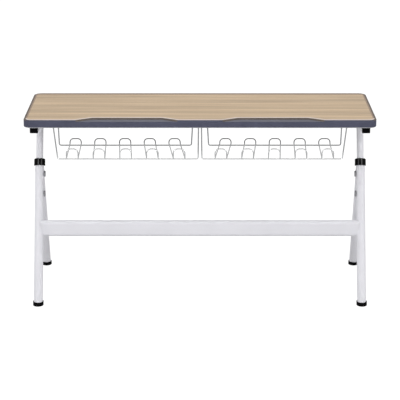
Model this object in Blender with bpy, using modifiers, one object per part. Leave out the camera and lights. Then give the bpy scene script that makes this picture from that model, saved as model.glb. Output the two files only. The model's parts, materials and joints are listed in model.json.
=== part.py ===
"""Double school desk on height-adjustable inclined legs, with two wire baskets under the top.

Metres, +Z up. X runs along the desk, -Y is the pupils' side, and the origin lies on the floor
under the middle of the desk. The desk stands at one setting of its height adjustment.
"""

import math

import bmesh
import bpy
from mathutils import Vector

# Clearances
gap = 0.0003
overrun = 0.002
weld = 0.00001

# Desk top
desk_length = 1.200
desk_depth = 0.400
desk_corner_radius = 0.028
edge_height = 0.027
edge_wall = 0.0065
edge_lip_width = 0.010
edge_round = 0.0016
laminate_thickness = 0.0010
core_thickness = 0.0174
backing_thickness = 0.0010

# Recessed ledge in front of each seat
ledge_spacing = 0.498
ledge_rear_width = 0.237
ledge_front_width = 0.347
ledge_depth = 0.031
ledge_drop = 0.0045
ledge_corner_radius = 0.014

# Square arms under the top
arm_size = 0.028
arm_wall = 0.0015
arm_corner_radius = 0.003
arm_end_inset = 0.0355
arm_front_inset = 0.012
arm_rear_inset = 0.012
plug_flange = 0.003
plug_round = 0.0008
plug_insert = 0.014
arm_screw_inset = 0.055
arm_screw_shank = 0.0055
arm_screw_head = 0.012
arm_screw_head_height = 0.003
arm_screw_grip = 0.012
arm_screw_tip = 0.003

# Inclined legs
base_depth = 0.422
leg_diameter = 0.0308
leg_wall = 0.0018
leg_length = 0.5073
rear_leg_drop = 0.0127
rear_leg_splay = 0.0105
post_diameter = 0.0242
post_wall = 0.0015
post_showing = 0.144
post_setback = 0.024
post_insertion = 0.245

# Collar at the top of each leg
collar_diameter = 0.0402
collar_height = 0.0246
collar_lip = 0.005
collar_round = 0.004
collar_lower_round = 0.001

# Guide in the lower end of each post
guide_flange = 0.006
guide_insert = 0.015

# Clamping bolts
bolt_head_across_flats = 0.019
bolt_head_height = 0.0052
bolt_diameter = 0.010
bolt_drop = 0.0483
bolt_spacing = 0.070

# Feet
foot_diameter = 0.0366
foot_sole = 0.003
front_foot_height = 0.0124
rear_foot_height = 0.0150

# Stretcher between the legs
stretcher_height = 0.057
stretcher_width = 0.026
stretcher_wall = 0.0015
stretcher_corner_radius = 0.0115
stretcher_drop = 0.2234

# Wire baskets
frame_wire = 0.0045
hoop_wire = 0.0038
basket_end_inset = 0.0962
basket_middle_gap = 0.010
basket_rear_taper = 0.0185
rim_clearance = 0.00175
basket_run = 0.178
basket_drop = 0.131
basket_front_outer_slant = 0.014
basket_front_inner_slant = 0.0015
basket_rear_outer_slant = 0.004
basket_rear_inner_slant = 0.007
basket_bend_radius = 0.0068
rim_overhang = 0.011
rim_corner_radius = 0.008
hoop_width = 0.040
hoop_front_rise = 0.038
hoop_rear_rise = 0.0222
hoop_overhang = 0.008
hoop_arch_radius = 0.016
hoop_bend_radius = 0.0042
hoop_count = 5
hoop_front_first_share = 0.105
hoop_rear_first_share = 0.122
hoop_front_step_share = 0.190
hoop_rear_step_share = 0.1875

# Saddle clips that hold the basket rims
clip_width = 0.014
clip_thickness = 0.0015
clip_tab = 0.016
clip_place_shares = (0.22, 0.78)

# Most of a straight side that the round of one of its corners may take
fillet_reach_share = 0.74

# Facets
turn_facets = 28
small_turn_facets = 16
arc_facets = 5
bend_facets = 3
saddle_facets = 6
wire_bevel_resolution = 2
hoop_bevel_resolution = 1
edge_round_segments = 3

# Places worked out from the sizes
leg_plane = desk_length / 2 - arm_end_inset
front_foot_y = -base_depth / 2
rear_foot_y = base_depth / 2
axis_to_collar_top = leg_length + gap + collar_lip
axis_to_arm = axis_to_collar_top + post_showing
leg_tilt = math.asin((post_setback - front_foot_y) / axis_to_arm)
rear_leg_meet = axis_to_collar_top - collar_height - rear_leg_drop
meet_y = front_foot_y + rear_leg_meet * math.sin(leg_tilt)
meet_z = rear_leg_meet * math.cos(leg_tilt)
rear_leg_length = math.hypot(rear_foot_y - meet_y, meet_z, rear_leg_splay)
rear_leg_tilt = -math.asin((rear_foot_y - meet_y) / rear_leg_length)
rear_leg_lean = math.atan2(rear_leg_splay, meet_z)
arm_underside = axis_to_arm * math.cos(leg_tilt)
arm_topside = arm_underside + arm_size
backing_bottom = arm_topside + gap
core_bottom = backing_bottom + backing_thickness + gap
laminate_bottom = core_bottom + core_thickness + gap
top_height = laminate_bottom + laminate_thickness
edge_bottom = top_height - edge_height
leg_radius = leg_diameter / 2
post_radius = post_diameter / 2
post_low = leg_length - post_insertion
stretcher_level = leg_length * math.cos(leg_tilt) - stretcher_drop
stretcher_y = front_foot_y + stretcher_level * math.tan(leg_tilt)
arm_front = -desk_depth / 2 + arm_front_inset
arm_rear = desk_depth / 2 - arm_rear_inset
rim_level = backing_bottom - gap - frame_wire / 2
basket_bottom = backing_bottom - basket_drop
rim_front = -desk_depth / 2 + ledge_depth + edge_lip_width + rim_clearance + frame_wire / 2
basket_front = rim_front + rim_overhang
basket_rear = basket_front + basket_run
rim_rear = basket_rear + rim_overhang

sides = {"left": -1, "right": 1}


# Scene helpers

def clear_scene():
    for item in list(bpy.data.objects):
        bpy.data.objects.remove(item, do_unlink=True)


def new_collection(name):
    collection = bpy.data.collections.new(name)
    bpy.context.scene.collection.children.link(collection)
    return collection


def make_material(name, color, roughness, metallic):
    material = bpy.data.materials.new(name)
    material.use_nodes = True
    shader = material.node_tree.nodes["Principled BSDF"]
    shader.inputs["Base Color"].default_value = (*color, 1)
    shader.inputs["Roughness"].default_value = roughness
    shader.inputs["Metallic"].default_value = metallic
    material.diffuse_color = (*color, 1)
    return material


def add_part(item, material):
    """Put a finished piece in the desk's collection with its own copy of a material."""
    own = material.copy()
    own.name = item.name
    item.data.materials.clear()
    item.data.materials.append(own)
    parts_collection.objects.link(item)
    return item


def add_cutter(item):
    item.hide_render = True
    item.display_type = "WIRE"
    cutters_collection.objects.link(item)
    return item


def apply_boolean(target, tool, operation):
    modifier = target.modifiers.new(tool.name, "BOOLEAN")
    modifier.operation = operation
    modifier.object = tool


def cut(target, tool):
    apply_boolean(target, tool, "DIFFERENCE")


def join(target, tool):
    apply_boolean(target, tool, "UNION")


# Shape helpers

def rounded_outline(corners, facets=arc_facets):
    """Turn (x, y, radius) corners into points, each corner an arc tangent to both its sides."""
    points = []
    count = len(corners)
    for index, (x, y, radius) in enumerate(corners):
        here = Vector((x, y))
        before = Vector(corners[index - 1][:2]) - here
        after = Vector(corners[(index + 1) % count][:2]) - here
        points += [tuple(point) for point in fillet(before, here, after, radius, facets)]
    return points


def fillet(before, here, after, radius, facets):
    """Points of the arc that rounds the corner at here, between two sides given as vectors."""
    if radius <= 0:
        return [here]
    half_angle = before.angle(after) / 2
    longest = min(before.length, after.length) * fillet_reach_share
    reach = min(radius / math.tan(half_angle), longest)
    radius = reach * math.tan(half_angle)
    first = before.normalized()
    second = after.normalized()
    centre = here + (first + second).normalized() * (radius / math.sin(half_angle))
    start = here + first * reach - centre
    end = here + second * reach - centre
    sweep = start.angle(end)
    points = []
    for step in range(facets + 1):
        share = step / facets
        weight_start = math.sin((1 - share) * sweep) / math.sin(sweep)
        weight_end = math.sin(share * sweep) / math.sin(sweep)
        points.append(centre + start * weight_start + end * weight_end)
    return points


def inset_corners(corners, distance):
    """Move an anticlockwise outline inwards, with its round corners kept concentric."""
    moved = []
    count = len(corners)
    for index, (x, y, radius) in enumerate(corners):
        here = Vector((x, y))
        along_in = (here - Vector(corners[index - 1][:2])).normalized()
        along_out = (Vector(corners[(index + 1) % count][:2]) - here).normalized()
        normal_in = Vector((-along_in.y, along_in.x))
        normal_out = Vector((-along_out.y, along_out.x))
        mitre = (normal_in + normal_out).normalized()
        shifted = here + mitre * (distance / mitre.dot(normal_in))
        turns_left = along_in.cross(along_out) > 0
        new_radius = radius - distance if turns_left else radius + distance
        moved.append((shifted.x, shifted.y, max(new_radius, 0)))
    return moved


def rectangle_corners(width, height, radius):
    return [
        (-width / 2, -height / 2, radius),
        (width / 2, -height / 2, radius),
        (width / 2, height / 2, radius),
        (-width / 2, height / 2, radius),
    ]


def flat_shape(name, outlines, thickness):
    """A plate from flat outlines in local XY, centred on its own plane."""
    curve = bpy.data.curves.new(name, "CURVE")
    curve.dimensions = "2D"
    curve.fill_mode = "BOTH"
    curve.extrude = thickness / 2
    for outline in outlines:
        spline = curve.splines.new("POLY")
        spline.points.add(len(outline) - 1)
        for point, (x, y) in zip(spline.points, outline):
            point.co = (x, y, 0, 1)
        spline.use_cyclic_u = True
    holder = bpy.data.objects.new(name + "_outline", curve)
    bpy.context.scene.collection.objects.link(holder)
    bpy.context.view_layer.update()
    evaluated = holder.evaluated_get(bpy.context.evaluated_depsgraph_get())
    mesh = bpy.data.meshes.new_from_object(evaluated)
    shell = bmesh.new()
    shell.from_mesh(mesh)
    bmesh.ops.remove_doubles(shell, verts=shell.verts, dist=weld)
    bmesh.ops.dissolve_limit(shell, angle_limit=math.radians(1), verts=shell.verts, edges=shell.edges)
    bmesh.ops.recalc_face_normals(shell, faces=shell.faces)
    shell.to_mesh(mesh)
    shell.free()
    bpy.data.objects.remove(holder, do_unlink=True)
    bpy.data.curves.remove(curve)
    mesh.name = name
    return bpy.data.objects.new(name, mesh)


def box(name, size, centre):
    mesh = bpy.data.meshes.new(name)
    shell = bmesh.new()
    bmesh.ops.create_cube(shell, size=1)
    bmesh.ops.scale(shell, vec=size, verts=shell.verts)
    shell.to_mesh(mesh)
    shell.free()
    item = bpy.data.objects.new(name, mesh)
    item.location = centre
    return item


def cylinder(name, radius, length, facets=turn_facets):
    """A cylinder or prism whose base lies on the local origin and whose axis is local Z."""
    mesh = bpy.data.meshes.new(name)
    shell = bmesh.new()
    bmesh.ops.create_cone(
        shell, cap_ends=True, segments=facets, radius1=radius, radius2=radius, depth=length
    )
    bmesh.ops.translate(shell, vec=(0, 0, length / 2), verts=shell.verts)
    shell.to_mesh(mesh)
    shell.free()
    return bpy.data.objects.new(name, mesh)


def turned(name, profile, hollow, facets=turn_facets):
    """Turn a profile of (radius, height) points, listed down its outer side, about local Z."""
    edges = [(index, index + 1) for index in range(len(profile) - 1)]
    if hollow:
        edges.append((len(profile) - 1, 0))
    mesh = bpy.data.meshes.new(name)
    mesh.from_pydata([(radius, 0, height) for radius, height in profile], edges, [])
    item = bpy.data.objects.new(name, mesh)
    screw = item.modifiers.new("turn", "SCREW")
    screw.axis = "Z"
    screw.steps = facets
    screw.render_steps = facets
    screw.use_merge_vertices = True
    screw.merge_threshold = weld
    return item


def round_tube(name, radius, wall, length):
    """A tube along local Z that starts at the local origin."""
    profile = [(radius, length), (radius, 0), (radius - wall, 0), (radius - wall, length)]
    return turned(name, profile, hollow=True)


def bent_wire(name, corners, diameter, closed, resolution):
    """A round wire through (point, bend radius) corners."""
    points = []
    count = len(corners)
    for index, (here, radius) in enumerate(corners):
        is_end = not closed and index in (0, count - 1)
        if is_end:
            points.append(here)
            continue
        before = corners[index - 1][0] - here
        after = corners[(index + 1) % count][0] - here
        points += fillet(before, here, after, radius, bend_facets)
    curve = bpy.data.curves.new(name, "CURVE")
    curve.dimensions = "3D"
    curve.bevel_depth = diameter / 2
    curve.bevel_resolution = resolution
    curve.use_fill_caps = not closed
    spline = curve.splines.new("POLY")
    spline.points.add(len(points) - 1)
    for point, place in zip(spline.points, points):
        point.co = (*place, 1)
    spline.use_cyclic_u = closed
    return bpy.data.objects.new(name, curve)


def place_on_axis(item, x, foot_y, tilt, distance, lean=0):
    """Stand a piece on a leg's axis, at a distance from the floor measured along the axis.

    The axis is tilted from front to rear, and then leans towards +X.
    """
    upright = math.cos(tilt) * distance
    item.location = (
        x + math.sin(lean) * upright,
        foot_y + math.sin(tilt) * distance,
        math.cos(lean) * upright,
    )
    item.rotation_euler = (-tilt, lean, 0)
    return item


# Desk top

def ledge_corners(front_y):
    """Plan corners of both ledges along a front edge, from -X to +X."""
    corners = []
    for centre in (-ledge_spacing / 2, ledge_spacing / 2):
        corners += [
            (centre - ledge_front_width / 2, front_y, ledge_corner_radius),
            (centre - ledge_rear_width / 2, front_y + ledge_depth, ledge_corner_radius),
            (centre + ledge_rear_width / 2, front_y + ledge_depth, ledge_corner_radius),
            (centre + ledge_front_width / 2, front_y, ledge_corner_radius),
        ]
    return corners


def top_corners():
    """Plan corners of the desk top with the two ledges cut out of its front edge."""
    front_left, front_right, rear_right, rear_left = rectangle_corners(
        desk_length, desk_depth, desk_corner_radius
    )
    return [front_left, *ledge_corners(front_left[1]), front_right, rear_right, rear_left]


def sheet(name, inset, bottom, thickness):
    item = flat_shape(name, [rounded_outline(inset_corners(top_corners(), inset))], thickness)
    item.location.z = bottom + thickness / 2
    return item


def make_board():
    """Laminate on a core board, with a backing sheet below."""
    inset = edge_wall + gap
    laminate = add_part(
        sheet("laminate_top", inset, laminate_bottom, laminate_thickness), materials["laminate"]
    )
    core = add_part(sheet("core_board", inset, core_bottom, core_thickness), materials["core"])
    backing = add_part(
        sheet("backing_sheet", inset, backing_bottom, backing_thickness), materials["backing"]
    )
    return laminate, core, backing


def make_edge_moulding():
    """One moulded frame round the board, with the ledge of each seat in its front."""
    plan = rounded_outline(rectangle_corners(desk_length, desk_depth, desk_corner_radius))
    moulding = flat_shape("edge_moulding", [plan], edge_height)
    moulding.location.z = edge_bottom + edge_height / 2
    bevel = moulding.modifiers.new("round_edges", "BEVEL")
    bevel.width = edge_round
    bevel.segments = edge_round_segments
    bevel.limit_method = "ANGLE"
    bevel.angle_limit = math.radians(60)
    seat_bottom = backing_bottom - gap
    seat_cutter = sheet("board_seat_cutter", edge_wall, seat_bottom, top_height + overrun - seat_bottom)
    cut(moulding, add_cutter(seat_cutter))
    window_bottom = edge_bottom - overrun
    window_height = seat_bottom + overrun - window_bottom
    cut(moulding, add_cutter(sheet("window_cutter", edge_lip_width, window_bottom, window_height)))
    for name, corners in zip(sides, (ledge_corners(-desk_depth / 2)[:4], ledge_corners(-desk_depth / 2)[4:])):
        cut(moulding, add_cutter(ledge_cutter(name, corners)))
    return add_part(moulding, materials["edge"])


def ledge_cutter(name, corners):
    front_left, rear_left, rear_right, front_right = corners
    outline = [
        (front_left[0], front_left[1] - overrun, 0),
        (front_right[0], front_right[1] - overrun, 0),
        (front_right[0], front_right[1], ledge_corner_radius),
        rear_right,
        rear_left,
        (front_left[0], front_left[1], ledge_corner_radius),
    ]
    height = ledge_drop + overrun
    item = flat_shape(name + "_ledge_cutter", [rounded_outline(outline)], height)
    item.location.z = top_height - ledge_drop + height / 2
    return item


# Arms, their plugs and screws

def make_arm(name, side):
    outer = rounded_outline(rectangle_corners(arm_size, arm_size, arm_corner_radius))
    bore = arm_size - 2 * arm_wall
    inner = rounded_outline(rectangle_corners(bore, bore, arm_corner_radius - arm_wall))
    length = arm_rear - arm_front - 2 * (plug_flange + gap)
    arm = flat_shape(name + "_arm", [outer, inner], length)
    arm.rotation_euler.x = math.pi / 2
    arm.location = (side * leg_plane, (arm_front + arm_rear) / 2, arm_underside + arm_size / 2)
    return add_part(arm, materials["white_metal"])


def make_arm_plug(name, side, end_y, facing):
    """A square plug whose face is at end_y and whose insert points into the arm."""
    head = flat_shape(
        name, [rounded_outline(rectangle_corners(arm_size, arm_size, arm_corner_radius))], plug_flange
    )
    bevel = head.modifiers.new("round_edges", "BEVEL")
    bevel.width = plug_round
    bevel.segments = 1
    bevel.limit_method = "ANGLE"
    bevel.angle_limit = math.radians(60)
    insert_size = arm_size - 2 * (arm_wall + gap)
    insert_radius = arm_corner_radius - arm_wall - gap
    insert_length = plug_insert + plug_flange / 2
    insert = flat_shape(
        name + "_insert",
        [rounded_outline(rectangle_corners(insert_size, insert_size, insert_radius))],
        insert_length,
    )
    level = arm_underside + arm_size / 2
    head.rotation_euler.x = math.pi / 2
    head.location = (side * leg_plane, end_y - facing * plug_flange / 2, level)
    insert.rotation_euler.x = math.pi / 2
    insert.location = (side * leg_plane, end_y - facing * (plug_flange + insert_length) / 2, level)
    join(head, add_cutter(insert))
    return add_part(head, materials["black_plastic"])


def make_arm_screw(name, x, y):
    """A pan-head screw up through the arm and the backing into the core board."""
    head_bottom = arm_underside - gap - arm_screw_head_height
    tip = core_bottom + arm_screw_grip
    shank = arm_screw_shank / 2
    profile = [
        (0, tip - head_bottom),
        (shank / 2, tip - head_bottom),
        (shank, tip - arm_screw_tip - head_bottom),
        (shank, arm_screw_head_height),
        (arm_screw_head / 2, arm_screw_head_height),
        (arm_screw_head / 2, arm_screw_head_height / 2),
        (arm_screw_head / 3, 0),
        (0, 0),
    ]
    screw = turned(name, profile, hollow=False, facets=small_turn_facets)
    screw.location = (x, y, head_bottom)
    return add_part(screw, materials["steel"])


def make_screw_hole(name, x, y):
    """A clearance hole for one arm screw, blind in the core board."""
    bottom = arm_underside - overrun
    depth = core_bottom + arm_screw_grip + gap - bottom
    cutter = cylinder(name, arm_screw_shank / 2 + gap, depth, small_turn_facets)
    cutter.location = (x, y, bottom)
    return add_cutter(cutter)


# Legs

def axis_cylinder(name, radius, x, foot_y, tilt, lean, reach):
    """A cylinder on a leg's axis that passes through the floor by its reach, up and down."""
    return place_on_axis(cylinder(name, radius, 2 * reach), x, foot_y, tilt, -reach, lean)


def make_foot(name, x, foot_y, tilt, lean, height, floor_cutter):
    """A cap round the leg's end, with its sole and its rim both level."""
    reach = foot_diameter
    foot = axis_cylinder(name, foot_diameter / 2, x, foot_y, tilt, lean, reach)
    cut(foot, floor_cutter)
    cut(foot, add_cutter(level_block(name + "_rim_cutter", x, foot_y, height, reach)))
    socket = axis_cylinder(name + "_socket", leg_radius + gap, x, foot_y, tilt, lean, reach)
    sole = level_block(name + "_sole_block", x, foot_y, foot_sole - 2 * reach, 2 * reach)
    cut(socket, add_cutter(sole))
    cut(foot, add_cutter(socket))
    return add_part(foot, materials["foot_plastic"])


def level_block(name, x, y, bottom, height):
    """A block round a foot, wider than it, between two levels."""
    width = 4 * foot_diameter
    return box(name, (width, width, height), (x, y, bottom + height / 2))


def make_leg_tube(name, x, foot_y, tilt, lean, length):
    """A tube along a leg's axis whose lower end is cut level, just above the foot's sole."""
    reach = foot_diameter
    tube = round_tube(name, leg_radius, leg_wall, length + reach)
    place_on_axis(tube, x, foot_y, tilt, -reach, lean)
    end = level_block(name + "_end_cutter", x, foot_y, foot_sole + gap - 2 * reach, 2 * reach)
    cut(tube, add_cutter(end))
    return add_part(tube, materials["white_metal"])


def make_post(name, x, arm_cutter):
    length = axis_to_arm - post_low + post_radius * math.tan(leg_tilt) + overrun
    post = round_tube(name, post_radius, post_wall, length)
    place_on_axis(post, x, front_foot_y, leg_tilt, post_low)
    cut(post, arm_cutter)
    return add_part(post, materials["white_metal"])


def make_guide(name, x):
    insert = post_radius - post_wall - gap
    flange = leg_radius - leg_wall - gap
    profile = [
        (0, guide_flange + gap + guide_insert),
        (insert, guide_flange + gap + guide_insert),
        (insert, guide_flange),
        (flange, guide_flange),
        (flange, 0),
        (0, 0),
    ]
    guide = turned(name, profile, hollow=False)
    place_on_axis(guide, x, front_foot_y, leg_tilt, post_low - gap - guide_flange)
    return add_part(guide, materials["black_plastic"])


def make_collar(name, x):
    outer = collar_diameter / 2
    sleeve = leg_radius + gap
    bore = post_radius + gap
    shoulder = collar_height - collar_lip
    profile = [
        (bore, collar_height),
        (outer - collar_round, collar_height),
        (outer - collar_round / 3, collar_height - collar_round / 3),
        (outer, collar_height - collar_round),
        (outer, collar_lower_round),
        (outer - collar_lower_round, 0),
        (sleeve, 0),
        (sleeve, shoulder),
        (bore, shoulder),
    ]
    collar = turned(name, profile, hollow=True)
    place_on_axis(collar, x, front_foot_y, leg_tilt, axis_to_collar_top - collar_height)
    return add_part(collar, materials["black_plastic"])


def make_bolt(name, side, distance):
    """A hexagon bolt through the leg's inner wall, whose end stops short of the post."""
    head_radius = bolt_head_across_flats / math.sqrt(3)
    head = cylinder(name, head_radius, bolt_head_height, facets=6)
    shank_length = leg_radius - post_radius
    shank = cylinder(name + "_shank", bolt_diameter / 2, shank_length + overrun, small_turn_facets)
    y = front_foot_y + math.sin(leg_tilt) * distance
    z = math.cos(leg_tilt) * distance
    inwards = -side * math.pi / 2
    for item, offset in ((head, leg_radius + gap), (shank, post_radius + gap)):
        item.rotation_euler.y = inwards
        item.location = (side * (leg_plane - offset), y, z)
    join(head, add_cutter(shank))
    return add_part(head, materials["steel"])


def make_bolt_hole(name, side, distance):
    cutter = cylinder(name, bolt_diameter / 2 + gap, leg_radius + overrun, small_turn_facets)
    cutter.rotation_euler.y = -side * math.pi / 2
    y = front_foot_y + math.sin(leg_tilt) * distance
    cutter.location = (side * leg_plane, y, math.cos(leg_tilt) * distance)
    return add_cutter(cutter)


def make_leg_cutter(name, x):
    """The space that a front leg takes from what is coped against it."""
    length = axis_to_arm
    cutter = cylinder(name, leg_radius + gap, length)
    return add_cutter(place_on_axis(cutter, x, front_foot_y, leg_tilt, 0))


def make_stretcher(leg_cutters):
    outer = rounded_outline(
        rectangle_corners(stretcher_width, stretcher_height, stretcher_corner_radius)
    )
    inner = rounded_outline(
        rectangle_corners(
            stretcher_width - 2 * stretcher_wall,
            stretcher_height - 2 * stretcher_wall,
            stretcher_corner_radius - stretcher_wall,
        )
    )
    length = 2 * (leg_plane - leg_radius / 2)
    stretcher = flat_shape("stretcher", [outer, inner], length)
    stretcher.rotation_euler = (math.pi / 2, 0, math.pi / 2)
    stretcher.location = (0, stretcher_y, stretcher_level)
    for cutter in leg_cutters:
        cut(stretcher, cutter)
    return add_part(stretcher, materials["white_metal"])


def make_lower_frame():
    pieces = []
    leg_cutters = []
    floor_cutter = box(
        "floor_cutter",
        (2 * desk_length, 2 * base_depth, 2 * foot_diameter),
        (0, 0, -foot_diameter),
    )
    add_cutter(floor_cutter)
    for name, side in sides.items():
        x = side * leg_plane
        leg_cutter = make_leg_cutter(name + "_leg_cutter", x)
        leg_cutters.append(leg_cutter)
        rear_x = x + side * rear_leg_splay
        rear = (rear_x, rear_foot_y, rear_leg_tilt, -side * rear_leg_lean)
        front_leg = make_leg_tube(name + "_front_leg", x, front_foot_y, leg_tilt, 0, leg_length)
        rear_leg = make_leg_tube(name + "_rear_leg", *rear, rear_leg_length)
        cut(rear_leg, leg_cutter)
        pieces += [front_leg, rear_leg, make_collar(name + "_collar", x)]
        front = (x, front_foot_y, leg_tilt, 0, front_foot_height)
        pieces.append(make_foot(name + "_front_foot", *front, floor_cutter))
        pieces.append(make_foot(name + "_rear_foot", *rear, rear_foot_height, floor_cutter))
        for place, drop in (("upper", bolt_drop), ("lower", bolt_drop + bolt_spacing)):
            distance = leg_length - drop
            cut(front_leg, make_bolt_hole(f"{name}_{place}_bolt_hole", side, distance))
            pieces.append(make_bolt(f"{name}_{place}_bolt", side, distance))
    pieces.append(make_stretcher(leg_cutters))
    return pieces


# Baskets

def rim_x(side, share, y):
    """X of a point of the rim at a share of its width, counted from its outer side."""
    outer = desk_length / 2 - basket_end_inset
    inner = basket_middle_gap / 2 + basket_rear_taper * (y - basket_front) / basket_run
    return side * (outer + (inner - outer) * share)


def bottom_x(side, share, front):
    """X of a point of an end frame's bottom at a share of its width, from its outer side."""
    outer = desk_length / 2 - basket_end_inset
    inner = basket_middle_gap / 2
    if front:
        outer -= basket_front_outer_slant
        inner += basket_front_inner_slant
    else:
        outer -= basket_rear_outer_slant
        inner += basket_rear_taper + basket_rear_inner_slant
    return side * (outer + (inner - outer) * share)


def make_end_frame(name, side, front):
    """The U-shaped wire at the front or rear of a basket, hung from the rim."""
    y = basket_front if front else basket_rear
    top = rim_level - frame_wire / 2 - gap
    corners = [
        (Vector((rim_x(side, 0, y), y, top)), 0),
        (Vector((bottom_x(side, 0, front), y, basket_bottom)), basket_bend_radius),
        (Vector((bottom_x(side, 1, front), y, basket_bottom)), basket_bend_radius),
        (Vector((rim_x(side, 1, y), y, top)), 0),
    ]
    wire = bent_wire(name, corners, frame_wire, closed=False, resolution=wire_bevel_resolution)
    return add_part(wire, materials["wire_chrome"])


def make_rim(name, side):
    corners = []
    for share, y in ((0, rim_front), (1, rim_front), (1, rim_rear), (0, rim_rear)):
        corners.append((Vector((rim_x(side, share, y), y, rim_level)), rim_corner_radius))
    rim = bent_wire(name, corners, frame_wire, closed=True, resolution=wire_bevel_resolution)
    return add_part(rim, materials["wire_chrome"])


def make_hoop(name, side, index):
    """A closed wire hoop that lies on both end frames and rises as an arch past each."""
    level = basket_bottom + (frame_wire + hoop_wire) / 2 + gap
    front_share = hoop_front_first_share + hoop_front_step_share * index
    rear_share = hoop_rear_first_share + hoop_rear_step_share * index
    front_x = bottom_x(side, front_share, True)
    rear_x = bottom_x(side, rear_share, False)
    front_y = basket_front - hoop_overhang
    rear_y = basket_rear + hoop_overhang
    half = hoop_width / 2
    front_top = basket_bottom + hoop_front_rise
    rear_top = basket_bottom + hoop_rear_rise
    corners = [
        (Vector((front_x - half, front_y, level)), hoop_bend_radius),
        (Vector((front_x - half, front_y, front_top)), hoop_arch_radius),
        (Vector((front_x + half, front_y, front_top)), hoop_arch_radius),
        (Vector((front_x + half, front_y, level)), hoop_bend_radius),
        (Vector((rear_x + half, rear_y, level)), hoop_bend_radius),
        (Vector((rear_x + half, rear_y, rear_top)), hoop_arch_radius),
        (Vector((rear_x - half, rear_y, rear_top)), hoop_arch_radius),
        (Vector((rear_x - half, rear_y, level)), hoop_bend_radius),
    ]
    hoop = bent_wire(name, corners, hoop_wire, closed=True, resolution=hoop_bevel_resolution)
    return add_part(hoop, materials["wire_chrome"])


def make_clip(name, side, share, front):
    """A strap under the rim wire with one flat tab against the board."""
    hug = frame_wire / 2 + gap + clip_thickness / 2
    tab_level = backing_bottom - gap - clip_thickness / 2 - rim_level
    path = [(hug + clip_tab, tab_level), (hug, tab_level)]
    for step in range(saddle_facets + 1):
        angle = math.pi * step / saddle_facets
        path.append((hug * math.cos(angle), -hug * math.sin(angle)))
    mesh = bpy.data.meshes.new(name)
    shell = bmesh.new()
    rows = []
    for y, z in path:
        rows.append([shell.verts.new((x, y, z)) for x in (-clip_width / 2, clip_width / 2)])
    for (a, b), (c, d) in zip(rows, rows[1:]):
        shell.faces.new((a, b, d, c))
    bmesh.ops.remove_doubles(shell, verts=shell.verts, dist=weld)
    shell.to_mesh(mesh)
    shell.free()
    clip = bpy.data.objects.new(name, mesh)
    solid = clip.modifiers.new("thickness", "SOLIDIFY")
    solid.thickness = clip_thickness
    solid.offset = 0
    solid.use_even_offset = True
    y = rim_front if front else rim_rear
    clip.location = (rim_x(side, share, y), y, rim_level)
    if not front:
        clip.rotation_euler.z = math.pi
    return add_part(clip, materials["steel"])


def make_basket(name, side):
    pieces = [
        make_rim(name + "_basket_rim", side),
        make_end_frame(name + "_basket_front_frame", side, True),
        make_end_frame(name + "_basket_rear_frame", side, False),
    ]
    for index in range(hoop_count):
        pieces.append(make_hoop(f"{name}_basket_hoop_{index + 1}", side, index))
    for end, front in (("front", True), ("rear", False)):
        for number, share in enumerate(clip_place_shares, start=1):
            pieces.append(make_clip(f"{name}_{end}_clip_{number}", side, share, front))
    return pieces


def make_upper_frame():
    laminate, core, backing = make_board()
    pieces = [laminate, core, backing, make_edge_moulding()]
    arm_cutter = box(
        "arm_cutter",
        (desk_length, desk_depth, arm_size),
        (0, 0, arm_underside - gap + arm_size / 2),
    )
    add_cutter(arm_cutter)
    for name, side in sides.items():
        x = side * leg_plane
        arm = make_arm(name, side)
        pieces.append(arm)
        for end, end_y, facing in (("front", arm_front, -1), ("rear", arm_rear, 1)):
            pieces.append(make_arm_plug(f"{name}_{end}_arm_plug", side, end_y, facing))
            screw_y = end_y - facing * arm_screw_inset
            hole = make_screw_hole(f"{name}_{end}_screw_hole", x, screw_y)
            for drilled in (arm, backing, core):
                cut(drilled, hole)
            pieces.append(make_arm_screw(f"{name}_{end}_arm_screw", x, screw_y))
        pieces += [make_post(name + "_post", x, arm_cutter), make_guide(name + "_post_guide", x)]
        pieces += make_basket(name, side)
    return pieces


def hang_on_slide(pieces):
    """Parent the sliding pieces to an empty on the slide's axis, which follows the legs' tilt."""
    slide = bpy.data.objects.new("height_slide", None)
    slide.location = (
        0,
        front_foot_y + math.sin(leg_tilt) * axis_to_collar_top,
        math.cos(leg_tilt) * axis_to_collar_top,
    )
    slide.rotation_euler.x = -leg_tilt
    parts_collection.objects.link(slide)
    bpy.context.view_layer.update()
    for piece in pieces:
        piece.parent = slide
        piece.matrix_parent_inverse = slide.matrix_world.inverted()


def shade_round_pieces():
    for item in parts_collection.objects:
        if item.type == "MESH":
            item.data.shade_smooth()
            item.data.set_sharp_from_angle(angle=math.radians(35))


clear_scene()
parts_collection = new_collection("double_school_desk")
cutters_collection = new_collection("cutters")
materials = {
    "laminate": make_material("wood_laminate", (0.55, 0.42, 0.30), 0.45, 0),
    "core": make_material("particle_board", (0.45, 0.33, 0.20), 0.9, 0),
    "backing": make_material("backing_laminate", (0.60, 0.57, 0.52), 0.7, 0),
    "edge": make_material("slate_plastic", (0.10, 0.11, 0.15), 0.5, 0),
    "white_metal": make_material("white_powder_coat", (0.76, 0.76, 0.80), 0.35, 0),
    "black_plastic": make_material("black_plastic", (0.02, 0.02, 0.022), 0.4, 0),
    "foot_plastic": make_material("foot_plastic", (0.03, 0.03, 0.035), 0.6, 0),
    "steel": make_material("zinc_steel", (0.55, 0.55, 0.56), 0.35, 1),
    "wire_chrome": make_material("wire_chrome", (0.60, 0.61, 0.63), 0.25, 1),
}
make_lower_frame()
hang_on_slide(make_upper_frame())
shade_round_pieces()
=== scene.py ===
"""Looks of the double school desk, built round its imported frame."""

import json
import math

import bmesh
import bpy
from mathutils import Matrix, Vector


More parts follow.
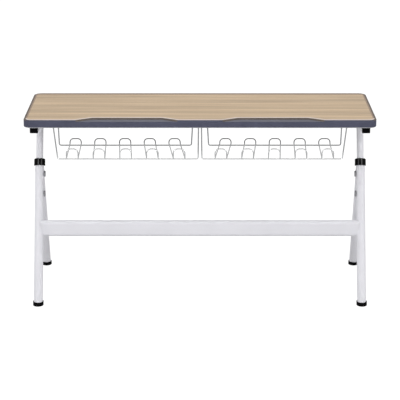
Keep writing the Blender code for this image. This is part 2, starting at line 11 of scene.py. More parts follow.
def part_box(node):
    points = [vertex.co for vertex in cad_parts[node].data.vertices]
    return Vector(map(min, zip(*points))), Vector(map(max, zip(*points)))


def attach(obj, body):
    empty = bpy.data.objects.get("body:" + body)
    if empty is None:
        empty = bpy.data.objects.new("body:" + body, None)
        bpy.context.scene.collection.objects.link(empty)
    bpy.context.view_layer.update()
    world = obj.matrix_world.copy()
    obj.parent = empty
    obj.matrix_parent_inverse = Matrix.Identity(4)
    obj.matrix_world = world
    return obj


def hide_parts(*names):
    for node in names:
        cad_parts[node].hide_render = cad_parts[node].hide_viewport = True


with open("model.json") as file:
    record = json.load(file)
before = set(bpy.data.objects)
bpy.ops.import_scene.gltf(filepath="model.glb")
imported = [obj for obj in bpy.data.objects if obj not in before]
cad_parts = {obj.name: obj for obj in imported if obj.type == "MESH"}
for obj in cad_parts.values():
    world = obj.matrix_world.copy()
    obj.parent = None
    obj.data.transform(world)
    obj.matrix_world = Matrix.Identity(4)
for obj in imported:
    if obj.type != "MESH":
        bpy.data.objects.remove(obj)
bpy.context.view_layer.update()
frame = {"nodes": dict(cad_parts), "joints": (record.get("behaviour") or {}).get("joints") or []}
nodes = frame["nodes"]

# Sizes of the desk top, in metres
gap = 0.0003
overrun = 0.002
weld = 0.00001
desk_length = 1.200
desk_depth = 0.400
desk_corner_radius = 0.028
edge_wall = 0.0065
edge_lip_width = 0.010
edge_round = 0.0026
ledge_spacing = 0.498
ledge_rear_width = 0.237
ledge_front_width = 0.347
ledge_depth = 0.031
ledge_drop = 0.0045
ledge_corner_radius = 0.014
ledge_edge_round = 0.0005
# Widths of the laminate's rim lines: the front one is a painted highlight, the side and rear ones a
# darker brown
laminate_front_line = 0.009
laminate_side_line = 0.0050
laminate_rear_line = 0.018
edge_foot = 0.0028

# Sizes of the arms
arm_wall = 0.0015
arm_corner_radius = 0.003
arm_end_inset = 0.0355
arm_front_inset = 0.012
arm_rear_inset = 0.012
plug_flange = 0.003
plug_round = 0.0012
plug_panel_inset = 0.0045
plug_panel_depth = 0.0005
plug_insert = 0.014
arm_screw_inset = 0.055
arm_screw_shank = 0.0055
arm_screw_head = 0.012
arm_screw_head_height = 0.003
arm_screw_grip = 0.012
cross_slot_length = 0.0062
cross_slot_width = 0.0013
cross_slot_depth = 0.0014

# Shares of a screw head's radius and of its crown's height, down its round
screw_crown_shares = ((0.92, 1 / 2), (0.72, 1 / 6), (0.40, 0))

# Sizes of the legs
base_depth = 0.422
leg_length = 0.5073
leg_wall = 0.0018
rear_leg_drop = 0.0127
rear_leg_splay = 0.0105
post_wall = 0.0015
post_insertion = 0.245
collar_diameter = 0.0402
collar_height = 0.0246
collar_lip = 0.005
collar_round = 0.0042
collar_waist = 0.0006
collar_skirt = 0.0042
collar_groove = 0.0004
# Where a collar's two upright painted highlights lie, as shares of its width, and how wide they are
inner_highlight_share = 0.294
outer_highlight_share = 0.574
highlight_width_share = 0.055
bolt_head_across_flats = 0.019
bolt_head_height = 0.0052
bolt_head_chamfer = 0.0011
bolt_washer_face = 0.0005
bolt_diameter = 0.010
bolt_drop = 0.0483
bolt_spacing = 0.070
foot_diameter = 0.0366
foot_sole = 0.003
front_foot_height = 0.0124
rear_foot_height = 0.0150
foot_round = 0.0007
stretcher_height = 0.057
stretcher_width = 0.026
stretcher_wall = 0.0015
stretcher_corner_radius = 0.0115
stretcher_section = (stretcher_width, stretcher_height, stretcher_corner_radius)
weld_bead = 0.0026
weld_pitch = 0.0016
weld_ripple = 0.14
weld_ripple_points = 3

# Sizes of the wire baskets
frame_wire = 0.0045
hoop_wire = 0.0038
basket_end_inset = 0.0962
basket_middle_gap = 0.010
basket_rear_taper = 0.0185
rim_clearance = 0.00175
basket_run = 0.178
basket_drop = 0.131
basket_front_outer_slant = 0.014
basket_front_inner_slant = 0.0015
basket_rear_outer_slant = 0.004
basket_rear_inner_slant = 0.007
basket_bend_radius = 0.0068
rim_overhang = 0.011
rim_corner_radius = 0.008
hoop_width = 0.040
hoop_front_rise = 0.038
hoop_rear_rise = 0.0222
hoop_overhang = 0.008
hoop_arch_radius = 0.016
hoop_bend_radius = 0.0042
hoop_count = 5
hoop_front_first_share = 0.105
hoop_rear_first_share = 0.122
hoop_front_step_share = 0.190
hoop_rear_step_share = 0.1875
clip_width = 0.014
clip_thickness = 0.0015
clip_tab = 0.016
clip_place_shares = (0.22, 0.78)
clip_screw_head = 0.0075
clip_screw_height = 0.0022
clip_screw_shank = 0.0025
clip_screw_length = 0.0066
spot_weld = 0.0034
spot_weld_ripple = 0.08
spot_weld_turn = 100
spot_weld_squeeze = 0.8

# Most of a straight side that the round of one of its corners may take
fillet_reach_share = 0.74

# Least radius that an outline's round corner keeps when the outline moves inwards
sharpest_corner = 0.0005

# Normals by which the moulding's faces are told apart
flat_normal = 0.99
rounded_rim_normal = 0.3
front_wall_normal = -0.5

# Facets
arc_facets = 12
bend_facets = 8
turn_facets = 96
small_turn_facets = 40
saddle_facets = 16
plug_facets = 4
collar_facets = 6
wire_bevel_resolution = 4

# Places read from the frame
board_low, board_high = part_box("laminate_top")
arm_low, arm_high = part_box("right_arm")
leg_low, leg_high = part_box("right_front_leg")
post_low, post_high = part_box("right_post")
slide_axis = Vector(frame["joints"][0]["axis"])
edge_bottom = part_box("edge_moulding")[0].z
top_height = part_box("edge_moulding")[1].z
core_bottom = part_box("core_board")[0].z
backing_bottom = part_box("backing_sheet")[0].z
stretcher_level = sum(corner.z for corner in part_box("stretcher")) / 2
arm_size = arm_high.x - arm_low.x
arm_underside = arm_low.z
leg_radius = (leg_high.x - leg_low.x) / 2
post_radius = (post_high.x - post_low.x) / 2

# Places worked out from the sizes
leg_plane = desk_length / 2 - arm_end_inset
leg_tilt = math.atan2(slide_axis.y, slide_axis.z)
front_foot_y = -base_depth / 2
rear_foot_y = base_depth / 2
axis_to_arm = arm_underside / math.cos(leg_tilt)
axis_to_collar_top = leg_length + gap + collar_lip
rear_leg_meet = axis_to_collar_top - collar_height - rear_leg_drop
meet_y = front_foot_y + rear_leg_meet * math.sin(leg_tilt)
meet_z = rear_leg_meet * math.cos(leg_tilt)
rear_leg_length = math.hypot(rear_foot_y - meet_y, meet_z, rear_leg_splay)
rear_leg_tilt = -math.asin((rear_foot_y - meet_y) / rear_leg_length)
rear_leg_lean = math.atan2(rear_leg_splay, meet_z)
post_start = leg_length - post_insertion
stretcher_y = front_foot_y + stretcher_level * math.tan(leg_tilt)
arm_front = -desk_depth / 2 + arm_front_inset
arm_rear = desk_depth / 2 - arm_rear_inset
rim_level = backing_bottom - gap - frame_wire / 2
basket_bottom = backing_bottom - basket_drop
basket_outer = desk_length / 2 - basket_end_inset
basket_inner = basket_middle_gap / 2
rim_front = -desk_depth / 2 + ledge_depth + edge_lip_width + rim_clearance + frame_wire / 2
basket_front = rim_front + rim_overhang
basket_rear = basket_front + basket_run
rim_rear = basket_rear + rim_overhang

sides = {"left": -1, "right": 1}
lower, upper = "lower_frame", "upper_frame"

# Camera, fitted to the picture: lens and sensor in millimetres, pitch in degrees
camera_lens = 137.51
camera_sensor = 36
camera_shift = -0.12
camera_reach = 100
camera_place = (0, -5.2046, 1.9525)
camera_pitch = 15.646

# Lights: place, target, size in metres and power in watts, spread in degrees. The narrow ones
# are aimed at the legs' tubes and given for the right side.
leg_light_target = (0.56, -0.03, 0.47)
leg_light_size = (1.5, 0.4)
leg_light_spread = 32
side_light = ((2.96, -2.88, 1.92), 0.6)
front_light = ((1.52, -3.00, 2.14), 0.45)
low_light = ((0, -4.2, 1.1), (0, 0, 0.5), (2.4, 0.6), 6.0)
top_light = ((0, -0.6, 5.0), (0, 0, 0.5), (3.0, 3.0), 20)
floor_reach = 30


# Shapes

def link(item):
    bpy.context.scene.collection.objects.link(item)
    return item


def fillet(before, here, after, radius, facets):
    """Points of the arc that rounds the corner at here, between two sides given as vectors."""
    if radius <= 0:
        return [here]
    half_angle = before.angle(after) / 2
    longest = min(before.length, after.length) * fillet_reach_share
    reach = min(radius / math.tan(half_angle), longest)
    radius = reach * math.tan(half_angle)
    first = before.normalized()
    second = after.normalized()
    centre = here + (first + second).normalized() * (radius / math.sin(half_angle))
    start = here + first * reach - centre
    end = here + second * reach - centre
    sweep = start.angle(end)
    points = []
    for step in range(facets + 1):
        share = step / facets
        weight_start = math.sin((1 - share) * sweep) / math.sin(sweep)
        weight_end = math.sin(share * sweep) / math.sin(sweep)
        points.append(centre + start * weight_start + end * weight_end)
    return points


def neighbours(items):
    """Each item of a closed run, between the one before it and the one after it."""
    return zip(items[-1:] + items[:-1], items, items[1:] + items[:1])


def rounded_outline(corners):
    """Turn (x, y, radius) corners into points, each corner an arc tangent to both its sides."""
    points = []
    for last, (x, y, radius), following in neighbours(corners):
        here = Vector((x, y))
        before, after = Vector(last[:2]) - here, Vector(following[:2]) - here
        points += [tuple(point) for point in fillet(before, here, after, radius, arc_facets)]
    return points


def inset_corners(corners, *distances):
    """Move an anticlockwise outline inwards, all its sides alike or each by its own distance."""
    if len(distances) == 1:
        distances *= len(corners)
    moved = []
    sides_met = zip(distances, distances[1:] + distances[:1])
    for (last, corner, following), (inwards, onwards) in zip(neighbours(corners), sides_met):
        x, y, radius = corner
        here = Vector((x, y))
        along_in = (here - Vector(last[:2])).normalized()
        along_out = (Vector(following[:2]) - here).normalized()
        normal_in = Vector((-along_in.y, along_in.x))
        normal_out = Vector((-along_out.y, along_out.x))
        shared = normal_in.dot(normal_out)
        shift = normal_in * (inwards - shared * onwards) + normal_out * (onwards - shared * inwards)
        shifted = here + shift / (1 - shared**2)
        turned_by = math.copysign((inwards + onwards) / 2, along_in.cross(along_out))
        moved.append((shifted.x, shifted.y, max(radius - turned_by, sharpest_corner)))
    return moved


def rectangle_corners(width, height, radius):
    signs = ((-1, -1), (1, -1), (1, 1), (-1, 1))
    return [(x * width / 2, y * height / 2, radius) for x, y in signs]


def rounded_rectangle(width, height, radius):
    return rounded_outline(rectangle_corners(width, height, radius))


def circle(radius, count):
    """X and Y of points spread evenly on a circle."""
    angles = [math.tau * step / count for step in range(count)]
    return [(radius * math.cos(angle), radius * math.sin(angle)) for angle in angles]


def shell_object(name, shell):
    mesh = bpy.data.meshes.new(name)
    bmesh.ops.recalc_face_normals(shell, faces=shell.faces)
    shell.to_mesh(mesh)
    shell.free()
    return link(bpy.data.objects.new(name, mesh))


def prism(name, outline, bottom, top):
    """A solid over a flat outline, between two heights."""
    return lofted(name, [(outline, bottom), (outline, top)])


def lofted(name, levels, closed=False):
    """A body through outlines with as many points, each at its height. A closed one is a ring."""
    shell = bmesh.new()
    rings = [[shell.verts.new((x, y, height)) for x, y in outline] for outline, height in levels]
    if closed:
        rings.append(rings[0])
    for ring, following in zip(rings, rings[1:]):
        for index in range(len(ring)):
            after = (index + 1) % len(ring)
            shell.faces.new((ring[index], ring[after], following[after], following[index]))
    if not closed:
        shell.faces.new(rings[0])
        shell.faces.new(rings[-1])
    return shell_object(name, shell)


def section_tube(name, width, height, radius, wall, length):
    """A rectangular tube with rounded corners, centred along local Z."""
    outer = rounded_rectangle(width, height, radius)
    inner = rounded_rectangle(width - 2 * wall, height - 2 * wall, radius - wall)
    half = length / 2
    return lofted(name, [(outer, -half), (outer, half), (inner, half), (inner, -half)], closed=True)


def turned(name, profile, facets=turn_facets):
    """Turn a profile of (radius, height) points, listed down its outer side, about local Z.

    A profile that starts off the axis is closed into a hollow ring.
    """
    hollow = profile[0][0] > 0
    edges = [(index, index + 1) for index in range(len(profile) - 1)]
    if hollow:
        edges.append((len(profile) - 1, 0))
    mesh = bpy.data.meshes.new(name)
    mesh.from_pydata([(radius, 0, height) for radius, height in profile], edges, [])
    item = link(bpy.data.objects.new(name, mesh))
    screw = item.modifiers.new("turn", "SCREW")
    screw.steps = facets
    screw.render_steps = facets
    screw.use_merge_vertices = True
    screw.merge_threshold = weld
    screw.use_normal_calculate = True
    screw.use_normal_flip = not hollow
    return item


def bar_profile(radius, low, high):
    return [(0, high), (radius, high), (radius, low), (0, low)]


def quarter_round(radius, facets):
    """How far inwards and down the points of a rounded rim lie, from its side to its top."""
    angles = [math.pi / 2 * step / facets for step in range(facets + 1)]
    return [(radius * (1 - math.cos(angle)), radius * (1 - math.sin(angle))) for angle in angles]


def wire(name, points, diameter, closed, swell=None):
    """A round wire through its points. swell gives each point's share of the full thickness."""
    curve = bpy.data.curves.new(name, "CURVE")
    curve.dimensions = "3D"
    curve.bevel_depth = diameter / 2
    curve.bevel_resolution = wire_bevel_resolution
    curve.use_fill_caps = not closed
    spline = curve.splines.new("POLY")
    spline.points.add(len(points) - 1)
    for point, place, share in zip(spline.points, points, swell or [1] * len(points)):
        point.co = (*place, 1)
        point.radius = share
    spline.use_cyclic_u = closed
    return link(bpy.data.objects.new(name, curve))


def bent_wire(name, corners, diameter, closed):
    """A settled wire through (point, bend radius) corners."""
    points = []
    for (last, _), (here, radius), (following, _) in neighbours(corners):
        before, after = last - here, following - here
        points += fillet(before, here, after, radius, bend_facets)
    return settle(wire(name, points, diameter, closed))


def front_axis(side):
    """A front leg's axis: X and Y of its foot, its tilt to the rear and its lean to +X."""
    return side * leg_plane, front_foot_y, leg_tilt, 0


def rear_axis(side):
    """The same for a rear leg."""
    return side * (leg_plane + rear_leg_splay), rear_foot_y, rear_leg_tilt, -side * rear_leg_lean


def axis_point(foot_y, tilt, distance):
    """Y and Z of a point on a leg's axis, at a distance from the floor along the axis."""
    return foot_y + math.sin(tilt) * distance, math.cos(tilt) * distance


def place_on_axis(item, axis, distance):
    """Stand a piece on a leg's axis, which is tilted to the rear and then leans to +X."""
    x, foot_y, tilt, lean = axis
    y, upright = axis_point(foot_y, tilt, distance)
    item.location = (x + math.sin(lean) * upright, y, math.cos(lean) * upright)
    item.rotation_euler = (-tilt, lean, 0)
    return item


def cut(item, *tools, operation="DIFFERENCE"):
    """Cut a piece by tools, which are used up, and settle it."""
    for tool in tools:
        modifier = item.modifiers.new(tool.name, "BOOLEAN")
        modifier.operation = operation
        modifier.object = tool
    return settle(item, *tools)


def soften(item, width, segments=2, angle=40):
    bevel = item.modifiers.new("soft_edges", "BEVEL")
    bevel.width = width
    bevel.segments = segments
    bevel.limit_method = "ANGLE"
    bevel.angle_limit = math.radians(angle)
    return item


def weld_caps(mesh):
    """Join a wire's end caps, which come loose, to its surface."""
    shell = bmesh.new()
    shell.from_mesh(mesh)
    bmesh.ops.remove_doubles(shell, verts=shell.verts, dist=weld)
    shell.to_mesh(mesh)
    shell.free()


def settle(item, *tools, smooth_angle=40):
    """Make a piece into one plain mesh in its place, and remove the tools that shaped it."""
    bpy.context.view_layer.update()
    evaluated = item.evaluated_get(bpy.context.evaluated_depsgraph_get())
    mesh = bpy.data.meshes.new_from_object(evaluated)
    mesh.transform(item.matrix_world)
    if item.type == "CURVE":
        weld_caps(mesh)
    name = item.name
    for spent in (item, *tools):
        bpy.data.objects.remove(spent, do_unlink=True)
    mesh.shade_smooth()
    mesh.set_sharp_from_angle(angle=math.radians(smooth_angle))
    mesh.name = name
    return link(bpy.data.objects.new(name, mesh))


def dress(item, finishes, body, slot, *replaced):
    """Give a finished piece its materials and body, and hide the CAD nodes it stands for. Its slot
    is not used.
    """
    for finish in finishes.split():
        item.data.materials.append(materials[finish])
    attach(item, body)
    if replaced:
        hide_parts(*replaced)
    return item


# Materials

class Surface:
    """A Principled material, with short ways to wire its nodes."""

    def __init__(self, name, roughness, metallic=0.0, specular=0.5):
        self.material = bpy.data.materials.new(name)
        self.material.use_nodes = True
        self.tree = self.material.node_tree
        self.shader = self.tree.nodes["Principled BSDF"]
        self.shader.inputs["Roughness"].default_value = roughness
        self.shader.inputs["Metallic"].default_value = metallic
        self.shader.inputs["Specular IOR Level"].default_value = specular
        self.place = self.tree.nodes.new("ShaderNodeTexCoord").outputs["Object"]

    def connect(self, source, target):
        self.tree.links.new(source, target)

    def node(self, kind, **inputs):
        """A node whose inputs are set, or linked where a socket is given."""
        made = self.tree.nodes.new(kind)
        for key, value in inputs.items():
            target = made.inputs[key]
            if isinstance(value, bpy.types.NodeSocket):
                self.connect(value, target)
            else:
                target.default_value = value
        return made

    def stretched(self, scale, offset=(0, 0, 0)):
        node = self.node("ShaderNodeMapping", Scale=scale, Location=offset, Vector=self.place)
        return node.outputs["Vector"]

    def noise(self, scale, detail, roughness=0.5, distortion=0.0, place=None):
        inputs = {"Scale": scale, "Detail": detail, "Roughness": roughness}
        inputs.update(Distortion=distortion, Vector=place or self.place)
        return self.node("ShaderNodeTexNoise", **inputs).outputs["Fac"]

    def along(self, axis):
        return self.node("ShaderNodeSeparateXYZ", Vector=self.place).outputs[axis]

    def ramp(self, factor, stops):
        node = self.node("ShaderNodeValToRGB", Fac=factor)
        while len(node.color_ramp.elements) < len(stops):
            node.color_ramp.elements.new(0.5)
        for element, (position, color) in zip(node.color_ramp.elements, stops):
            element.position = position
            element.color = (*color, 1)
        return node.outputs["Color"]

    def mottled(self, factor, color, change):
        """A colour that a texture makes darker and lighter by a share."""
        stops = [(0.3, shaded(color, 1 - change)), (0.7, shaded(color, 1 + change))]
        return self.ramp(factor, stops)

    def multiplied(self, first, second, amount):
        node = self.node("ShaderNodeMix", Factor=amount)
        node.data_type = "RGBA"
        node.blend_type = "MULTIPLY"
        sockets = {socket.identifier: socket for socket in (*node.inputs, *node.outputs)}
        self.connect(first, sockets["A_Color"])
        self.connect(second, sockets["B_Color"])
        return sockets["Result_Color"]

    def spread(self, factor, low, high, start=0.0, end=1.0):
        inputs = {"From Min": start, "From Max": end, "To Min": low, "To Max": high}
        return self.node("ShaderNodeMapRange", Value=factor, **inputs).outputs["Result"]

    def color(self, source):
        self.connect(source, self.shader.inputs["Base Color"])
        return self.material

    def roughness(self, factor, low, high):
        self.connect(self.spread(factor, low, high), self.shader.inputs["Roughness"])

    def bump(self, height, strength, distance=0.0002):
        node = self.node("ShaderNodeBump", Strength=strength, Distance=distance, Height=height)
        self.connect(node.outputs["Normal"], self.shader.inputs["Normal"])


def shaded(color, factor):
    return tuple(channel * factor for channel in color)


def wood_laminate():
    """Light oak print: bands and fine streaks along X, short dark pores, and a satin film."""
    surface = Surface("wood_laminate", roughness=0.45)
    bands = surface.noise(2.6, 3, 0.55, 0.35, surface.stretched((0.5, 16, 1), (3.1, 0.7, 0)))
    dark, light = shaded(wood_color, 0.82), shaded(wood_color, 1.18)
    tone = surface.ramp(bands, [(0.30, dark), (0.50, wood_color), (0.70, light)])
    streaks = surface.noise(4.0, 7, 0.66, 0.2, surface.stretched((0.8, 34, 1)))
    streak_tone = surface.ramp(streaks, [(0.34, (0.78, 0.75, 0.70)), (0.60, (1.08, 1.08, 1.08))])
    tone = surface.multiplied(tone, streak_tone, 1.0)
    pores = surface.noise(9.0, 2, 0.5, 0, surface.stretched((5, 220, 1)))
    pore_tone = surface.ramp(pores, [(0.30, (0.72, 0.66, 0.60)), (0.40, (1.0, 1.0, 1.0))])
    surface.roughness(streaks, 0.40, 0.52)
    surface.bump(pores, 0.10, 0.0003)
    return surface.color(surface.multiplied(tone, pore_tone, 0.8))


def laminate_edge(name, color):
    """The line along the laminate's trimmed rim: a painted highlight in front, a darker brown at
    the sides and the rear.
    """
    surface = Surface(name, roughness=0.6, specular=0.2)
    grain = surface.noise(60, 3, 0.5, 0, surface.stretched((0.3, 1, 1)))
    return surface.color(surface.mottled(grain, color, 0.05))


def moulded_plastic(name, color, roughness, grain, specular=0.5):
    """Moulded plastic with a fine spark-eroded grain and faint flow marks."""
    surface = Surface(name, roughness, specular=specular)
    texture = surface.noise(grain, 2, 0.6)
    surface.roughness(texture, roughness * 0.85, roughness * 1.2)
    surface.bump(texture, 0.12)
    return surface.color(surface.mottled(surface.noise(14, 3, 0.5, 0.6), color, 0.10))


def collar_plastic():
    """Smooth black plastic with two upright painted highlights in grey, mirrored from collar to
    collar.
    """
    surface = Surface("collar_plastic", roughness=0.16, specular=0.05)
    distance = surface.node("ShaderNodeMath", Value=surface.along("X"))
    distance.operation = "ABSOLUTE"
    half = collar_diameter / 2
    span = surface.spread(distance.outputs["Value"], 0, 1, leg_plane - half, leg_plane + half)
    stops = []
    # Two upright painted highlights, lighter grey, at fixed places across each collar
    for centre, level in ((inner_highlight_share, 0.085), (outer_highlight_share, 0.14)):
        for reach, strength in ((-1.0, 0.0), (-0.5, 1.0), (0.5, 1.0), (1.0, 0.0)):
            stops.append((centre + reach * highlight_width_share, (level * strength,) * 3))
    painted_highlights = surface.ramp(span, stops)
    wear = surface.noise(260, 3, 0.6)
    wear_tone = surface.ramp(wear, [(0.3, (0.7, 0.7, 0.7)), (0.7, (1.0, 1.0, 1.0))])
    surface.roughness(wear, 0.14, 0.20)
    surface.bump(wear, 0.02)
    return surface.color(surface.multiplied(painted_highlights, wear_tone, 1.0))


def powder_coat(name, color):
    """White powder coat with orange peel and a faint gloss."""
    surface = Surface(name, 0.42, specular=0.35)
    peel = surface.noise(520, 2, 0.5)
    surface.roughness(peel, 0.36, 0.48)
    surface.bump(peel, 0.06)
    return surface.color(surface.mottled(surface.noise(9, 3, 0.5), color, 0.02))


def plated_metal(name, color, roughness, stretch, painted_light=None):
    """Plated wire or fasteners with fine drawing marks and a patchy shine.

    The optional last argument paints light and shade into the plating's colour, from one end of an
    axis to the other: its letter, both ends and stops.
    """
    surface = Surface(name, roughness, metallic=1.0)
    marks = surface.noise(240, 3, 0.6, 0, surface.stretched(stretch))
    tone = surface.mottled(marks, color, 0.10)
    # Painted light and shade along an axis: the colour is lightened and darkened by stops
    if painted_light:
        axis, start, end, stops = painted_light
        span = surface.spread(surface.along(axis), 0, 1, start, end)
        painted_tone = surface.ramp(span, [(share, (level,) * 3) for share, level in stops])
        tone = surface.multiplied(tone, painted_tone, 1.0)
    surface.roughness(marks, roughness * 0.75, roughness * 1.3)
    surface.bump(marks, 0.05, 0.0001)
    return surface.color(tone)


def particle_board():
    """Pressed chips, seen only where the board is cut."""
    surface = Surface("particle_board", roughness=0.85)
    place = surface.stretched((1, 1, 2.5))
    chips = surface.node("ShaderNodeTexVoronoi", Scale=420, Vector=place).outputs["Distance"]
    stops = [(0.1, (0.26, 0.17, 0.09)), (0.5, (0.46, 0.33, 0.19)), (0.9, (0.60, 0.47, 0.30))]
    surface.bump(chips, 0.4, 0.0004)
    return surface.color(surface.ramp(chips, stops))


def backing_laminate():
    """Plain warm grey backing sheet with a faint mottle."""
    surface = Surface("backing_laminate", roughness=0.6)
    mottle = surface.noise(180, 4, 0.6)
    surface.bump(mottle, 0.1)
    stops = [(0.35, (0.56, 0.54, 0.51)), (0.65, (0.63, 0.61, 0.58))]
    return surface.color(surface.ramp(mottle, stops))


def studio_paper():
    """Plain pale floor that is overexposed in the picture, with only a trace of a shadow left."""
    surface = Surface("studio_paper", roughness=0.9)
    cloud = surface.noise(0.6, 2, 0.5)
    surface.color(surface.ramp(cloud, [(0.2, (0.55, 0.55, 0.55)), (0.8, (0.57, 0.57, 0.57))]))
    rays = surface.node("ShaderNodeLightPath").outputs["Is Camera Ray"]
    share = surface.node("ShaderNodeMath", Value=rays)
    share.operation = "MULTIPLY"
    share.inputs[1].default_value = floor_wash
    glow = surface.node("ShaderNodeEmission", Strength=floor_glow)
    mixed = surface.node("ShaderNodeMixShader", Fac=share.outputs["Value"])
    surface.connect(surface.shader.outputs["BSDF"], mixed.inputs[1])
    surface.connect(glow.outputs["Emission"], mixed.inputs[2])
    output = surface.tree.nodes["Material Output"]
    surface.connect(mixed.outputs["Shader"], output.inputs["Surface"])
    return surface.material


wood_color = (0.515, 0.376, 0.231)
painted_edge_highlight_color = (0.72, 0.63, 0.58)
white_color = (0.828, 0.824, 0.868)
slate_color = (0.088, 0.092, 0.136)
dark_rim_line_color = (0.330, 0.245, 0.185)
ledge_painted_light_color = (0.130, 0.132, 0.160)
rim_color = (0.150, 0.125, 0.105)
lip_painted_light_color = (0.50, 0.50, 0.52)
plug_color = (0.002, 0.002, 0.0025)
foot_color = (0.003, 0.003, 0.0035)
steel_color = (0.40, 0.40, 0.42)
wire_color = (0.46, 0.47, 0.48)
bright_wire_color = (0.92, 0.93, 0.94)
floor_glow = 1.15
floor_wash = 0.90
world_strength = 0.85
# Painted light and shade on the hoops: bright at the front arches, darkening towards the rear
# arches under the desk top
hoop_painted_light_stops = [(0.0, 0.86), (0.10, 0.62), (0.85, 0.50), (0.96, 0.26)]
hoop_painted_light = ("Y", basket_front - hoop_overhang, basket_rear + hoop_overhang, hoop_painted_light_stops)
# Painted light and shade on the front frame wire: brightened near its bottom, darker towards the
# rim under the desk top
front_wire_painted_light = ("Z", basket_bottom, rim_level, [(0.06, 1.06), (0.25, 0.60)])
materials = {
    "laminate": wood_laminate(),
    # Pale front line of the laminate: a painted highlight
    "laminate_edge": laminate_edge("laminate_edge", painted_edge_highlight_color),
    # Darker brown line along the laminate's sides and rear
    "grimy_edge": laminate_edge("dark_laminate_edge", dark_rim_line_color),
    "core": particle_board(),
    "backing": backing_laminate(),
    "edge": moulded_plastic("slate_plastic", slate_color, 0.52, 900, specular=0.12),
    # Lighter slate on the ledges' floors: painted light from above
    "ledge": moulded_plastic("ledge_painted_light_plastic", ledge_painted_light_color, 0.62, 900, specular=0.3),
    # Brown slate on the rim and the ledges' walls
    "rim": moulded_plastic("brown_slate_plastic", rim_color, 0.62, 900, specular=0.1),
    # Lighter slate at the moulding's foot: painted light from the floor below
    "lip": moulded_plastic("lip_painted_light_plastic", lip_painted_light_color, 0.62, 900, specular=0.3),
    "white": powder_coat("white_powder_coat", white_color),
    "collar": collar_plastic(),
    "plug": moulded_plastic("plug_plastic", plug_color, 0.35, 1200, specular=0.03),
    "foot": moulded_plastic("foot_plastic", foot_color, 0.45, 700, specular=0.04),
    "steel": plated_metal("zinc_steel", steel_color, 0.36, (1, 1, 0.2)),
    "wire": plated_metal("plated_wire", wire_color, 0.25, (1, 1, 0.2)),
    "hoop_wire": plated_metal(
        "plated_hoop_wire", bright_wire_color, 0.25, (1, 0.12, 1), hoop_painted_light
    ),
    "front_wire": plated_metal(
        "plated_front_wire", bright_wire_color, 0.25, (0.12, 1, 1), front_wire_painted_light
    ),
}


# Desk top

def ledge_corners(front_y):
    """Plan corners of both ledges along a front edge, from -X to +X."""
    front = (ledge_front_width / 2, front_y)
    rear = (ledge_rear_width / 2, front_y + ledge_depth)
    corners = []
    for centre in (-ledge_spacing / 2, ledge_spacing / 2):
        for sign, (half, y) in ((-1, front), (-1, rear), (1, rear), (1, front)):
            corners.append((centre + sign * half, y, ledge_corner_radius))
    return corners


def top_corners():
    """Plan corners of the desk top with the two ledges cut out of its front edge."""
    front_left, front_right, rear_right, rear_left = rectangle_corners(
        desk_length, desk_depth, desk_corner_radius
    )
    return [front_left, *ledge_corners(front_left[1]), front_right, rear_right, rear_left]


def top_prism(name, inset, bottom, top):
    return prism(name, rounded_outline(inset_corners(top_corners(), inset)), bottom, top)


def make_laminate():
    """The wood sheet, with the line of its trimmed rim: a painted highlight in front and a darker
    brown elsewhere.
    """
    edge = edge_wall + gap
    front_count = len(ledge_corners(0)) + 1
    front_sides = [edge + laminate_front_line] * front_count
    side = edge + laminate_side_line
    insets = (side, *front_sides, side, edge + laminate_rear_line)
    outer = rounded_outline(inset_corners(top_corners(), edge))
    inner = rounded_outline(inset_corners(top_corners(), *insets))
    levels = [(outer, board_low.z), (outer, board_high.z), (inner, board_high.z)]
    sheet = lofted("wood_top", levels)
    front_faces = (front_count + 1) * (arc_facets + 1) - 1
    for index, face in enumerate(list(sheet.data.polygons)[:-2]):
        face.material_index = 1 if index % len(outer) < front_faces else 2
    finishes = "laminate laminate_edge grimy_edge"
    dress(sheet, finishes, upper, "laminate", "laminate_top")


def edge_finish(face, floor):
    """Which finish a face of the moulding takes: 1 in a ledge, whose floor is lighter as painted
    light from above; 2 on the rim and the ledges' walls, a brown; 3 at its foot, lighter as painted
    light from the floor below.
    """
    level = face.center.z
    behind = face.center.y > edge_wall - desk_depth / 2
    if face.normal.z > flat_normal and abs(level - floor) < gap:
        return 1
    if level > floor + gap and behind and face.normal.y < front_wall_normal:
        return 2
    rim_normal = rounded_rim_normal if behind else flat_normal
    if level > top_height - edge_round and face.normal.z > rim_normal:
        return 2
    if level < edge_bottom + edge_foot and face.normal.z > -flat_normal:
        return 3
    return 0


def make_edge():
    """The moulded frame round the board, with its rounded edges and the two ledges."""
    outline = rounded_rectangle(desk_length, desk_depth, desk_corner_radius)
    body = prism("moulded_edge", outline, edge_bottom, top_height)
    soften(body, edge_round, segments=5, angle=60)
    above = top_height + overrun
    seat_bottom = backing_bottom - gap
    tools = [
        top_prism("seat_tool", edge_wall, seat_bottom, above),
        top_prism("window_tool", edge_lip_width, edge_bottom - overrun, seat_bottom + overrun),
    ]
    corners = ledge_corners(-desk_depth / 2)
    floor = top_height - ledge_drop
    for name, ledge in zip(sides, (corners[:4], corners[4:])):
        front = [(x, y - overrun, 0) for x, y, _ in (ledge[0], ledge[-1])]
        outline = rounded_outline([*front, *reversed(ledge)])
        tools.append(prism(name + "_ledge_tool", outline, floor, above))
    body = settle(soften(cut(body, *tools), ledge_edge_round, 2, 50))
    for face in body.data.polygons:
        face.material_index = edge_finish(face, floor)
    dress(body, "edge ledge rim lip", upper, "edge", "edge_moulding")


# Arms

def make_arm(name, side):
    length = arm_rear - arm_front - 2 * (plug_flange + gap)
    size = (arm_size, arm_size, arm_corner_radius)
    arm = section_tube(name + "_arm_tube", *size, arm_wall, length)
    arm.rotation_euler.x = math.pi / 2
    arm.location = (side * leg_plane, (arm_front + arm_rear) / 2, arm_underside + arm_size / 2)
    dress(settle(arm), "white", upper, "white_metal", name + "_arm")


